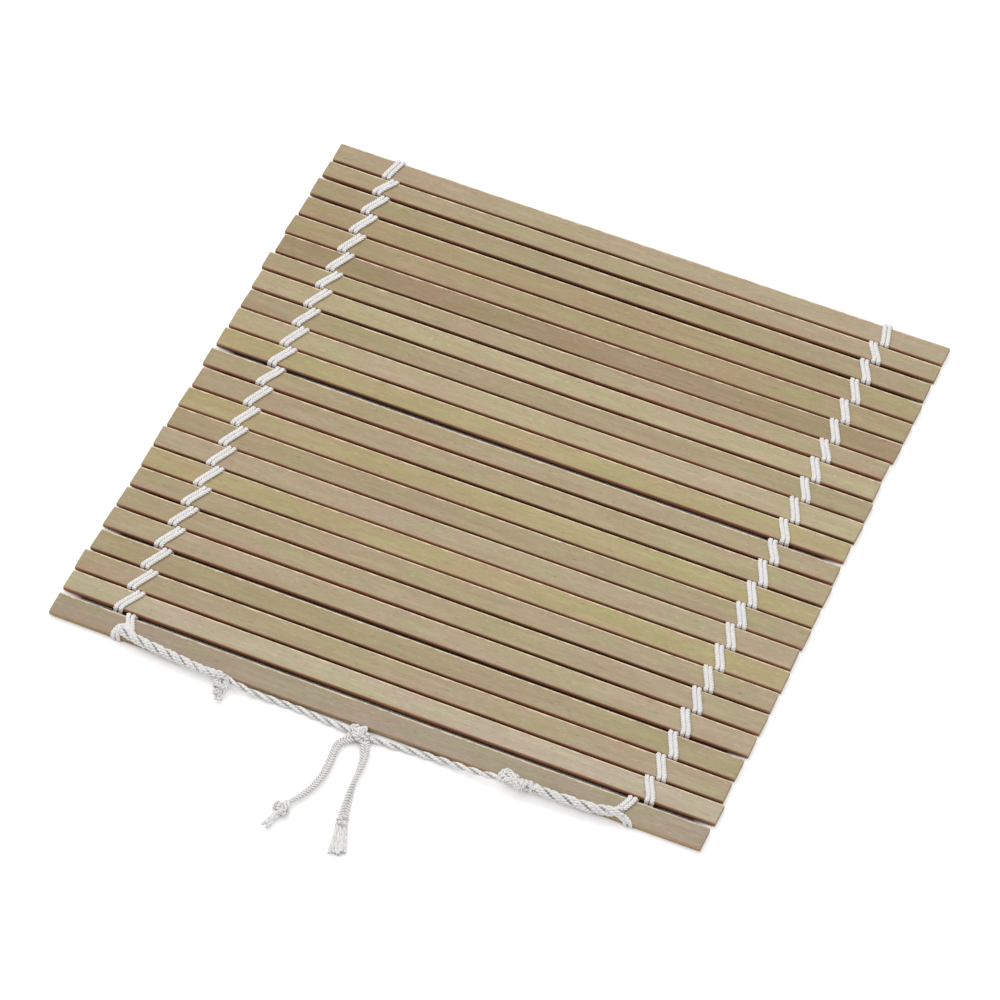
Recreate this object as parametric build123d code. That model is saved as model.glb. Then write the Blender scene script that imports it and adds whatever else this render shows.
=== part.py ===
from build123d import *
import os
from math import radians, tan

# Slats: flat strips of split bamboo, laid side by side (millimetres)
slat_count = 24
slat_length = 241.0
slat_width = 8.9
slat_thickness = 1.9
slat_gap = 1.35
slat_bevel = 0.25
end_scatter = 1.0

# Each slat's own width and ends, and each gap's own width, from the tied edge to the far edge
width_shares = [
    1.042, 0.963, 1.008, 1.017, 1.011, 0.999, 0.983, 1.036, 1.031, 1.028, 1.025, 1.048,
    0.927, 0.961, 1.06, 0.997, 0.997, 0.904, 1.03, 1.037, 1.036, 0.966, 0.851, 0.991,
]
gap_shares = [
    1.67, 0.91, 0.93, 1.43, 0.95, 1.02, 0.74, 0.74, 0.74, 0.74, 0.96, 1.04,
    1.76, 0.89, 0.81, 1.02, 1.02, 0.81, 0.81, 0.89, 1.28, 1.3, 0.85,
]
left_end_shares = [
    -0.15, -0.05, 0.45, -0.65, -0.15, -0.35, -0.65, -0.25, 0.05, -0.55, -0.25, -0.75,
    0.05, -0.05, -0.45, -0.45, -0.15, 0.75, -0.55, 0.25, -0.45, 0.05, -0.45, -0.45,
]
right_end_shares = [
    -0.15, 0.75, -0.35, -0.15, 0.45, 0.55, 0.45, 0.65, 0.25, 0.65, 0.35, 0.55,
    0.15, 0.15, 0.65, 0.45, -0.25, -0.55, 0.45, 0.45, 0.55, 0.15, 0.55, 0.55,
]

# Lacing: pairs of cotton thread that pass over one slat and under the next
thread_width = 1.45
thread_thickness = 0.64
thread_flat_share = 0.55
thread_clearance = 0.05
pair_pitch = 1.65
meeting_gap = 0.4
leg_offset = 0.2
bend_radius = 0.5
kink_inset = 0.7
kink_radius = 2.0

# Columns: where the lacing crosses the slats, measured from the mat's middle
left_column = 95.95
right_column = 96.9
stitch_slant = 3.8
column_drift = 1.3
drift_gaps = 8
tie_pull = 1.7

# Where the near slat's threads run into the tie cord
join_left = 90.75
join_right = 89.2
join_inset = 2.7
wrap_left = 94.4
wrap_right = 93.4
wrap_run = 2.2

# Tie cord: braided and twisted cotton along the near edge, and two loose tails
braid_diameter = 3.6
twist_diameter = 2.4
tail_left_diameter = 3.3
tail_right_diameter = 3.6
arc_share = 0.45

# Routes of the tie cord, as points along its middle
braid_left_route = [
    (-93.2, -120.9, 4.65), (-87.2, -122.3, 4.5), (-79.6, -122.9, 4.4), (-71.8, -123.5, 4.1),
    (-64.2, -124.0, 3.6), (-58.6, -124.0, 3.5), (-54.0, -123.7, 3.8),
]
twist_left_route = [
    (-52.6, -123.9, 3.4), (-47.6, -124.6, 2.7), (-41.0, -124.7, 1.7), (-33.6, -124.2, 1.3),
    (-26.0, -124.0, 1.25), (-18.6, -124.5, 1.25), (-11.6, -124.9, 1.3), (-4.9, -125.3, 1.9),
]
twist_right_route = [
    (1.7, -125.6, 1.9), (7.6, -125.3, 1.35), (14.4, -124.5, 1.25), (21.6, -124.1, 1.4),
    (29.0, -124.1, 1.9), (36.6, -124.4, 2.6), (43.2, -124.6, 3.3), (49.2, -124.1, 4.2),
]
braid_right_route = [
    (60.8, -123.6, 4.35), (66.8, -123.9, 4.2), (73.4, -123.5, 4.4), (79.8, -123.4, 4.45),
    (85.8, -122.5, 4.55), (91.8, -120.9, 4.65),
]
tail_left_route = [
    (-3.3, -128.0, 1.9), (-7.3, -130.6, 1.72), (-6.9, -136.6, 1.68), (-6.2, -143.2, 1.68),
    (-6.7, -149.6, 1.68), (-8.5, -155.2, 1.68), (-11.2, -160.0, 1.75), (-12.9, -163.4, 2.1),
]
tail_right_route = [
    (1.0, -127.9, 1.95), (3.1, -132.2, 1.85), (4.0, -138.2, 1.83), (4.3, -144.8, 1.83),
    (5.4, -151.2, 1.83), (6.5, -156.6, 1.83), (7.4, -161.0, 1.85),
]

# Knots: each has its middle line and its largest radius
centre_knot_line = [(-4.4, -125.7, 2.4), (1.7, -126.1, 2.4)]
centre_knot_radius = 2.35
right_knot_line = [(48.4, -124.1, 4.4), (61.6, -123.8, 4.6)]
right_knot_radius = 2.35
stub_knot_line = [(-54.2, -124.4, 4.2), (-51.3, -133.0, 1.9)]
stub_knot_radius = 2.3
end_knot_line = [(-12.2, -162.3, 2.7), (-15.3, -173.6, 1.9)]
end_knot_radius = 2.3
tassel_line = [(7.2, -159.9, 2.05), (11.3, -174.2, 1.0)]
tassel_binding_radius = 1.75
tassel_waist_radius = 1.35
tassel_spread = 5.6
tassel_thickness = 1.7
binding_length_share = 0.22

# Radius of each knot along its middle line: a bulge at every turn of the cord round itself
centre_knot_shares = [0.6, 0.95, 0.84, 1.0, 0.84, 0.95, 0.6]
right_knot_shares = [0.6, 0.97, 0.86, 0.97, 0.86, 1.0, 0.86, 0.76]
stub_knot_shares = [0.58, 0.8, 1.0, 0.86, 0.66, 0.7]
end_knot_shares = [0.6, 0.95, 0.88, 1.0, 0.66, 0.56, 0.62, 0.65]

# Sizes worked out from those above
half_length = slat_length / 2
slat_widths = [slat_width * share for share in width_shares]
slat_gaps = [slat_gap * share for share in gap_shares]
mat_depth = sum(slat_widths) + sum(slat_gaps)
slat_bottom = thread_thickness + thread_clearance
slat_top = slat_bottom + slat_thickness
slat_middle = slat_bottom + slat_thickness / 2
thread_reach = thread_clearance + thread_thickness / 2
over_height = slat_top + thread_reach
under_height = slat_bottom - thread_reach
over_end = slat_middle + meeting_gap / 2
under_end = slat_middle - meeting_gap / 2


def near_edge(index):
    """Y of the near edge of the slat with this index, counted from the tied edge."""
    return -mat_depth / 2 + sum(slat_widths[:index]) + sum(slat_gaps[:index])


def far_edge(index):
    """Y of the far edge of that slat."""
    return near_edge(index) + slat_widths[index]


def leg_reach(gap):
    """How far upright threads stand from the slats in a gap; the first and the last are the mat's edges."""
    if gap in (0, slat_count):
        return thread_reach
    return max(thread_reach, slat_gaps[gap - 1] / 2 - leg_offset)


def make_slat(index):
    """One bamboo strip with its long edges and its ends bevelled."""
    left = -half_length - end_scatter * left_end_shares[index]
    right = half_length + end_scatter * right_end_shares[index]
    strip = Box(right - left, slat_widths[index], slat_thickness)
    strip = chamfer(strip.edges(), slat_bevel)
    middle = (near_edge(index) + far_edge(index)) / 2
    return Pos((left + right) / 2, middle, slat_middle) * strip


def column_x(side, gap, outer):
    """X of the thread pair in a gap; gap 0 is the near edge, side is -1 or 1."""
    column = left_column if side < 0 else right_column
    slant = stitch_slant / 2 if outer else -stitch_slant / 2
    if gap == 1 and not outer:
        slant -= tie_pull
    drift = column_drift * max(0, 1 - gap / drift_gaps)
    return side * (column + slant) - drift


def sweep_thread(points, radii):
    """A pressed-flat thread along straight runs joined by tangent arcs."""
    side = thread_width / 2
    flat = side * thread_flat_share
    face = thread_thickness / 2
    outline = [(-side, 0), (-flat, face), (flat, face), (side, 0), (flat, -face), (-flat, -face)]
    path = FilletPolyline(*points, radius=radii)
    start = Plane(origin=path @ 0, x_dir=(1, 0, 0), z_dir=path % 0)
    return sweep(start * Polygon(*outline, align=None), path=path)


def over_points(index, x_near, x_far):
    """Route of a thread that comes up in the far gap and goes down in the near one."""
    near = near_edge(index)
    far = far_edge(index)
    return [
        (x_far, far + leg_reach(index + 1), over_end),
        (x_far, far + leg_reach(index + 1), over_height),
        (x_far, far - kink_inset, over_height),
        (x_near, near + kink_inset, over_height),
        (x_near, near - leg_reach(index), over_height),
        (x_near, near - leg_reach(index), over_end),
    ]


def under_points(index, x_near, x_far):
    """Route of a thread that goes down in the far gap and comes up in the near one."""
    near = near_edge(index)
    far = far_edge(index)
    return [
        (x_far, far + leg_reach(index + 1), under_end),
        (x_far, far + leg_reach(index + 1), under_height),
        (x_far, far - kink_inset, under_height),
        (x_near, near + kink_inset, under_height),
        (x_near, near - leg_reach(index), under_height),
        (x_near, near - leg_reach(index), under_end),
    ]


def crossing_radii():
    """Radii of a stitch's four corners: bend, kink, kink, bend."""
    return [bend_radius, kink_radius, kink_radius, bend_radius]


def near_over_points(side):
    """The near slat's upper thread, which runs into the tie cord."""
    x_far = column_x(side, 1, False)
    x_join = side * (join_left if side < 0 else join_right)
    return over_points(0, x_join, x_far)[:3] + [
        (x_join, near_edge(0) + join_inset, over_height),
    ]


def near_under_points(side):
    """The near slat's lower thread, which wraps round the front edge to the top."""
    x_far = column_x(side, 1, True)
    x_wrap = side * (wrap_left if side < 0 else wrap_right)
    return under_points(0, x_wrap, x_far)[:5] + [
        (x_wrap, near_edge(0) - thread_reach, over_height),
        (x_wrap, near_edge(0) + wrap_run, over_height),
    ]


def far_points(side):
    """The far slat's thread, folded round the mat's far edge in one piece."""
    last = slat_count - 1
    x_over = column_x(side, last, True)
    x_under = column_x(side, last, False)
    x_fold = (x_over + x_under) / 2
    over = over_points(last, x_over, x_fold)
    under = under_points(last, x_under, x_fold)
    return over[:0:-1] + under[1:]


def make_lacing(index):
    """Both columns' threads on one slat, each thread a solid of its own."""
    threads = []
    for side in (-1, 1):
        if index == 0:
            routes = [
                (near_over_points(side), [bend_radius, kink_radius]),
                (near_under_points(side), crossing_radii() + [bend_radius]),
            ]
        elif index == slat_count - 1:
            routes = [(far_points(side), crossing_radii() + crossing_radii())]
        else:
            x_in = column_x(side, index + 1, False)
            x_out = column_x(side, index, True)
            over = over_points(index, x_out, x_in)
            x_in = column_x(side, index, False)
            x_out = column_x(side, index + 1, True)
            under = under_points(index, x_in, x_out)
            routes = [(over, crossing_radii()), (under, crossing_radii())]
        for points, radii in routes:
            thread = sweep_thread(points, radii)
            threads += [Pos(offset, 0, 0) * thread for offset in (-pair_pitch / 2, pair_pitch / 2)]
    return Compound(children=[thread.solid() for thread in threads])


def arc_radii(route):
    """As large an arc at each corner as its two runs allow."""
    points = [Vector(*point) for point in route]
    radii = []
    for before, corner, after in zip(points, points[1:], points[2:]):
        shorter = min((corner - before).length, (after - corner).length)
        half_turn = radians((corner - before).get_angle(after - corner)) / 2
        radii.append(arc_share * shorter / tan(half_turn))
    return radii


def make_cord(name, route, diameter):
    """A plain round cord along its route, with its radii and volume printed."""
    radii = arc_radii(route)
    path = FilletPolyline(*route, radius=radii)
    start = Plane(origin=path @ 0, z_dir=path % 0)
    tube = sweep(start * Circle(diameter / 2), path=path)
    section = Circle(diameter / 2).area
    least = min(radii) / diameter
    print(name, "length", round(path.length, 1), "radii", [round(radius, 1) for radius in radii])
    print(name, "least radius in diameters", round(least, 2),
          "volume over section times length", round(tube.volume / (section * path.length), 4))
    return tube


def line_plane(line):
    """A plane at the start of a knot's middle line, looking along it."""
    start = Vector(*line[0])
    return Plane(origin=start, z_dir=Vector(*line[1]) - start)


def make_knot(line, radius, radius_shares):
    """A knot: a lump along its middle line that bulges at each turn of the cord."""
    length = (Vector(*line[1]) - Vector(*line[0])).length
    last = len(radius_shares) - 1
    outline = [(radius * share, length * place / last) for place, share in enumerate(radius_shares)]
    edges = Spline(*outline) + Polyline(outline[-1], (0, length), (0, 0), outline[0])
    return line_plane(line) * revolve(Plane.XZ * make_face(edges), axis=Axis.Z)


def make_tassel(line):
    """The right tail's bound end and its flat fan of loose threads."""
    run = Vector(*line[1]) - Vector(*line[0])
    binding = run.length * binding_length_share
    sleeve = extrude(Circle(tassel_binding_radius), binding)
    fan = loft([
        Pos(0, 0, binding) * Circle(tassel_waist_radius),
        Pos(0, 0, run.length) * Ellipse(tassel_spread / 2, tassel_thickness / 2),
    ])
    flat = Plane(origin=Vector(*line[0]), x_dir=run.cross(Vector(0, 0, 1)), z_dir=run)
    return flat * (sleeve + fan)


def make_tie_cord():
    """Every piece of the tie cord by its node's name."""
    return {
        "braid_left": make_cord("braid_left", braid_left_route, braid_diameter),
        "twist_left": make_cord("twist_left", twist_left_route, twist_diameter),
        "twist_right": make_cord("twist_right", twist_right_route, twist_diameter),
        "braid_right": make_cord("braid_right", braid_right_route, braid_diameter),
        "tail_left": make_cord("tail_left", tail_left_route, tail_left_diameter),
        "tail_right": make_cord("tail_right", tail_right_route, tail_right_diameter),
        "stub_knot": make_knot(stub_knot_line, stub_knot_radius, stub_knot_shares),
        "centre_knot": make_knot(centre_knot_line, centre_knot_radius, centre_knot_shares),
        "right_knot": make_knot(right_knot_line, right_knot_radius, right_knot_shares),
        "tail_left_knot": make_knot(end_knot_line, end_knot_radius, end_knot_shares),
        "tail_right_tassel": make_tassel(tassel_line),
    }


def make_parts():
    """Every node's shape by its name."""
    parts = {}
    for index in range(slat_count):
        parts[f"slat_{index + 1:02d}"] = make_slat(index)
        parts[f"lacing_{index + 1:02d}"] = make_lacing(index)
    parts.update(make_tie_cord())
    return parts


os.makedirs("parts", exist_ok=True)
for node, shape in make_parts().items():
    export_step(shape, f"parts/{node}.step")
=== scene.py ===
"""A square sushi rolling mat: flat bamboo slats laced with cotton thread, and a knotted tie cord."""

import logging  # noqa: E402
import math  # noqa: E402
import random  # noqa: E402
from contextlib import contextmanager  # noqa: E402
from dataclasses import dataclass, field, replace  # noqa: E402
from enum import Enum  # noqa: E402
from typing import ClassVar, Iterator, Sequence  # noqa: E402

import bpy  # noqa: E402
import numpy as np  # noqa: E402
from mathutils import Matrix, Vector, noise  # noqa: E402


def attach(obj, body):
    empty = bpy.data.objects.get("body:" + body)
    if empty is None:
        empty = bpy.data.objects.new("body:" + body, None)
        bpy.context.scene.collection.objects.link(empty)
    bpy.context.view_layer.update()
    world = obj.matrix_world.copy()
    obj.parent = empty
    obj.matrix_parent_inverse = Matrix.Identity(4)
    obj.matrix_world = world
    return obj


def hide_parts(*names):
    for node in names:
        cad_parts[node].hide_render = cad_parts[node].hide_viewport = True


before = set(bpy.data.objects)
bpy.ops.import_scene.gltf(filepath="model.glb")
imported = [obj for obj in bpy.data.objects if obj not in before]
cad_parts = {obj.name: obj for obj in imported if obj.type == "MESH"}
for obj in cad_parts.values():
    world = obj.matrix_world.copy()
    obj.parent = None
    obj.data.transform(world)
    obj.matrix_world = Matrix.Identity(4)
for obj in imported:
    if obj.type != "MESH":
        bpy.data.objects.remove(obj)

LOG = logging.getLogger("rolling_mat")
MM = 0.001
WHITE = (1.0, 1.0, 1.0, 1.0)
SIDES = (-1, 1)
# Millimetres of a knot's thread to one turn of its plies
KNOT_TURN = 3.1
# How high the middle of a knot's thread lies above the floor at least, as a share of its diameter
KNOT_REST = 0.54
Point = tuple[float, float, float]
Colour = tuple[float, float, float]
Shade = tuple[float, float, float, float]
Socket = bpy.types.NodeSocket
Material = bpy.types.Material
Piece = bpy.types.Object
Array = np.ndarray
Hearts = list[tuple[Array, float]]


def linear(colour: Colour) -> Shade:
    """Turns a colour as seen on a screen into the numbers that a shader takes.

    Args:
        colour: Red, green and blue from 0 to 255.

    Returns:
        Linear red, green, blue and a full alpha.
    """
    parts = [value / 255 for value in colour]
    made = [p / 12.92 if p <= 0.04045 else ((p + 0.055) / 1.055) ** 2.4 for p in parts]
    return made[0], made[1], made[2], 1.0


def put(name: str, data: bpy.types.ID) -> Piece:
    """Adds an object with its data to the scene."""
    made = bpy.data.objects.new(name, data)
    bpy.context.scene.collection.objects.link(made)
    return made


def choose(piece: Piece) -> None:
    """Makes a piece the only selected and active one."""
    bpy.ops.object.select_all(action="DESELECT")
    piece.select_set(True)
    bpy.context.view_layer.objects.active = piece


@contextmanager
def editing() -> Iterator[None]:
    """Keeps the active piece in edit mode for a few steps."""
    bpy.ops.object.mode_set(mode="EDIT")
    yield
    bpy.ops.object.mode_set(mode="OBJECT")


def round_edges(size: float, steps: int) -> None:
    """Rounds the edges that are selected in edit mode, by a size in millimetres."""
    bpy.ops.mesh.bevel(offset=size * MM, segments=steps, profile=0.5, affect="EDGES")


def write_map(mesh: bpy.types.Mesh, name: str, places: Array) -> None:
    """Gives a mesh a map of its own, from a place for each of its points."""
    layer = mesh.uv_layers.new(name=name)
    corners = np.zeros(len(mesh.loops), np.int32)
    mesh.loops.foreach_get("vertex_index", corners)
    layer.data.foreach_set("uv", places[corners].astype(np.float32).ravel())


@dataclass
class MatSizes:
    """Sizes of the mat in millimetres, from the tied edge to the far edge."""

    slat_length: float = 241.0
    slat_width: float = 8.9
    slat_thickness: float = 1.9
    slat_gap: float = 1.35
    end_scatter: float = 1.0
    thread_thickness: float = 0.64
    thread_clearance: float = 0.05
    leg_stand: float = 0.42
    leg_offset: float = 0.2
    width_shares: tuple[float, ...] = (
        1.042, 0.963, 1.008, 1.017, 1.011, 0.999, 0.983, 1.036, 1.031, 1.028, 1.025, 1.048,
        0.927, 0.961, 1.06, 0.997, 0.997, 0.904, 1.03, 1.037, 1.036, 0.966, 0.851, 0.991,
    )
    gap_shares: tuple[float, ...] = (
        1.67, 0.91, 0.93, 1.43, 0.95, 1.02, 0.74, 0.74, 0.74, 0.74, 0.96, 1.04,
        1.76, 0.89, 0.81, 1.02, 1.02, 0.81, 0.81, 0.89, 1.28, 1.3, 0.85,
    )
    left_end_shares: tuple[float, ...] = (
        -0.15, -0.05, 0.45, -0.65, -0.15, -0.35, -0.65, -0.25, 0.05, -0.55, -0.25, -0.75,
        0.05, -0.05, -0.45, -0.45, -0.15, 0.75, -0.55, 0.25, -0.45, 0.05, -0.45, -0.45,
    )
    right_end_shares: tuple[float, ...] = (
        -0.15, 0.75, -0.35, -0.15, 0.45, 0.55, 0.45, 0.65, 0.25, 0.65, 0.35, 0.55,
        0.15, 0.15, 0.65, 0.45, -0.25, -0.55, 0.45, 0.45, 0.55, 0.15, 0.55, 0.55,
    )

    @property
    def count(self) -> int:
        """How many slats the mat has."""
        return len(self.width_shares)

    @property
    def depth(self) -> float:
        """The mat from its near edge to its far edge."""
        return sum(self.width(i) for i in range(self.count)) + self.slat_gap * sum(self.gap_shares)

    @property
    def bottom(self) -> float:
        """Height of the slats' undersides, which lie on their under-stitches."""
        return self.thread_thickness + self.thread_clearance

    @property
    def top(self) -> float:
        """Height of the slats' upper faces."""
        return self.bottom + self.slat_thickness

    def width(self, index: int) -> float:
        """Width of one slat."""
        return self.slat_width * self.width_shares[index]

    def near(self, index: int) -> float:
        """Y of a slat's near edge."""
        before = sum(self.width(i) for i in range(index))
        return -self.depth / 2 + before + self.slat_gap * sum(self.gap_shares[:index])

    def far(self, index: int) -> float:
        """Y of a slat's far edge."""
        return self.near(index) + self.width(index)

    def leg(self, gap: int) -> float:
        """How far upright threads stand from the slats in a gap, gap 0 being the near edge."""
        if gap in (0, self.count):
            return self.leg_stand
        return max(self.leg_stand, self.slat_gap * self.gap_shares[gap - 1] / 2 - self.leg_offset)

    def left(self, index: int) -> float:
        """X of a slat's left end."""
        return -self.slat_length / 2 - self.end_scatter * self.left_end_shares[index]

    def right(self, index: int) -> float:
        """X of a slat's right end."""
        return self.slat_length / 2 + self.end_scatter * self.right_end_shares[index]

    def body(self, index: int) -> str:
        """Name of the moving body that a slat belongs to."""
        return "tied_slat" if index == 0 else f"strip_{index + 1:02d}"


SIZES = MatSizes()


class NodeSheet:
    """A material's nodes, added and linked by short calls."""

    def __init__(self, name: str) -> None:
        """Starts an empty material with its output and main shader.

        Args:
            name: The material's name.
        """
        self.material = bpy.data.materials.new(name)
        self.material.use_nodes = True
        self.tree = self.material.node_tree
        self.tree.nodes.clear()
        output = self.tree.nodes.new("ShaderNodeOutputMaterial")
        self.shader = self.tree.nodes.new("ShaderNodeBsdfPrincipled")
        self.tree.links.new(self.shader.outputs[0], output.inputs["Surface"])

    def add(self, kind: str, inputs: dict | None = None, **settings: object) -> bpy.types.Node:
        """Adds one node with its settings and its inputs.

        Args:
            kind: The node's type.
            inputs: Values, or sockets to link, by input name or number.
            **settings: The node's own settings.

        Returns:
            The new node.
        """
        node = self.tree.nodes.new(kind)
        for key, value in settings.items():
            setattr(node, key, value)
        for key, value in (inputs or {}).items():
            self.feed(node.inputs[key], value)
        return node

    def feed(self, socket: Socket, value: object) -> None:
        """Links a socket, or sets its value."""
        if isinstance(value, bpy.types.NodeSocket):
            self.tree.links.new(value, socket)
        else:
            socket.default_value = value

    def stretched(self, scales: Point, offset: Point = (0.0, 0.0, 0.0)) -> Socket:
        """Object coordinates, scaled and shifted apart.

        Args:
            scales: Pattern repeats to a metre along each axis.
            offset: A shift of the pattern.

        Returns:
            The mapped coordinates.
        """
        place = self.add("ShaderNodeTexCoord")
        inputs = {"Vector": place.outputs["Object"], "Location": offset, "Scale": scales}
        return self.add("ShaderNodeMapping", inputs).outputs["Vector"]

    def cloud(self, scales: Point, detail: float, rough: float, offset: Point = (0.0, 0.0, 0.0)) -> Socket:
        """A noise pattern of values from 0 to 1, over stretched coordinates."""
        vector = self.stretched(scales, offset)
        inputs = {"Vector": vector, "Scale": 1.0, "Detail": detail, "Roughness": rough}
        return self.add("ShaderNodeTexNoise", inputs).outputs[0]

    def waves(self, vector: Socket, direction: str, *shape: float) -> Socket:
        """A pattern of bent lines, shaped by its scale, distortion, detail and detail scale."""
        names = ("Scale", "Distortion", "Detail", "Detail Scale")
        inputs = {"Vector": vector, **dict(zip(names, shape))}
        return self.add("ShaderNodeTexWave", inputs, bands_direction=direction).outputs["Fac"]

    def ramp(self, value: Socket, low: float, high: float, bottom: float = 0.0, top: float = 1.0) -> Socket:
        """Maps a value from one range to another, held at its ends.

        Args:
            value: The value.
            low: Start of its range.
            high: End of its range.
            bottom: What the start becomes.
            top: What the end becomes.

        Returns:
            The mapped value.
        """
        inputs = {0: value, 1: low, 2: high, 3: bottom, 4: top}
        return self.add("ShaderNodeMapRange", inputs, clamp=True).outputs[0]

    def blend(self, share: object, first: object, second: object, kind: str = "MIX") -> Socket:
        """Mixes two colours by a share.

        Args:
            share: How much of the second colour, a number or a socket.
            first: The first colour, or its socket.
            second: The second colour, or its socket.
            kind: How they are mixed.

        Returns:
            The mixed colour.
        """
        node = self.add("ShaderNodeMix", data_type="RGBA", blend_type=kind)
        for number, value in ((0, share), (6, first), (7, second)):
            self.feed(node.inputs[number], value)
        return node.outputs[2]

    def layers(self, colour: object, rows: list[tuple]) -> Socket:
        """Lays colours over one another, each where its pattern has the right values.

        Args:
            colour: The colour below them all, or its socket.
            rows: Each layer's pattern, the value where the layer starts to show, the value where it
                is full, its share of the whole there, and its colour.

        Returns:
            The layered colour.
        """
        for pattern, start, full, share, over in rows:
            colour = self.blend(self.ramp(pattern, start, full, 0.0, share), colour, over)
        return colour

    def chart(self, name: str, part: int) -> Socket:
        """One part of the piece's own map: 0 for along it and 1 for across it."""
        place = self.add("ShaderNodeUVMap", uv_map=name)
        return self.add("ShaderNodeSeparateXYZ", {0: place.outputs[0]}).outputs[part]

    def place(self, axis: int) -> Socket:
        """One of the piece's own coordinates, in metres."""
        place = self.add("ShaderNodeTexCoord")
        return self.add("ShaderNodeSeparateXYZ", {0: place.outputs["Object"]}).outputs[axis]

    def sums(self, kind: str, first: object, second: object) -> Socket:
        """Adds, multiplies or compares two values."""
        return self.add("ShaderNodeMath", {0: first, 1: second}, operation=kind).outputs[0]

    def shade(self, values: dict[str, object]) -> Material:
        """Feeds inputs of the main shader by their names, and gives back the material."""
        for name, value in values.items():
            self.feed(self.shader.inputs[name], value)
        return self.material

    def bump(self, height: Socket, strength: float, distance: float) -> Socket:
        """A relief for the main shader's normal."""
        inputs = {"Height": height, "Strength": strength, "Distance": distance}
        return self.add("ShaderNodeBump", inputs).outputs[0]


class SlatTone(Enum):
    """The named tones that split bamboo has on this mat, each as seen on a screen."""

    STRAW = (179, 163, 131)
    PALE = (187, 173, 139)
    ASH = (192, 179, 152)
    GREY = (171, 157, 134)
    SAND = (182, 166, 136)
    DULL = (174, 159, 125)
    MOSS = (182, 167, 125)
    OLIVE = (174, 157, 120)
    BROWN = (164, 144, 113)


class SlatSurface(Enum):
    """The kinds of surface that a slat shows."""

    SKIN = "skin"
    EDGE = "edge"
    ARRIS = "arris"
    END = "end"
    PITH = "pith"


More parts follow.
